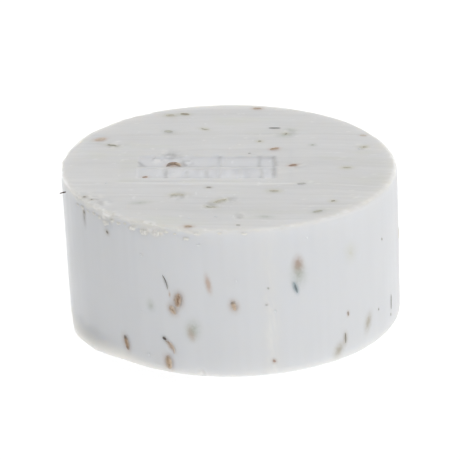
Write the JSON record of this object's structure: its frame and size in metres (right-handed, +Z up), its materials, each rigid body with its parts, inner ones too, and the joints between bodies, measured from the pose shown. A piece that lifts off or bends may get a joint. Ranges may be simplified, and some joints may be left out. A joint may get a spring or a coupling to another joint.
{
  "type": "shaving soap puck",
  "caption": "Hand-cut round puck of solid white shaving soap with a shallow stamped panel and botanical flecks set in it.",
  "frame": {"origin": "middle of the flat base", "axes": "+Z up through the puck's height, +X along the wire-cut lines on the top with the stamped panel read from -Y, -Y towards the front"},
  "size_m": [0.0708, 0.0703, 0.0327],
  "materials": {
    "soap": "satin, slightly translucent",
    "crumb": "matt",
    "grain": "matt",
    "stem": "dry",
    "petal": "dry",
    "husk": "dry",
    "needle": "dry",
    "leaf": "dry",
    "seed": "dry"
  },
  "bodies": {
    "root": {"soap_puck": "soap", "rim_crumbs": "crumb", "white_grains": "grain", "rim_stem": "stem", "petal_sliver": "petal", "stamp_husk": "husk", "husk_flakes_front": "husk", "husk_flakes_back": "husk", "husk_flakes_top": "husk", "husk_flakes_base": "husk", "herb_needles_front": "needle", "herb_needles_back": "needle", "herb_needles_top": "needle", "herb_needles_base": "needle", "leaf_bits_front": "leaf", "leaf_bits_back": "leaf", "leaf_bits_top": "leaf", "seed_specks_front": "seed", "seed_specks_back": "seed", "seed_specks_top": "seed", "seed_specks_base": "seed", "inner_husks": "husk", "inner_needles": "needle"}
  },
  "joints": []
}
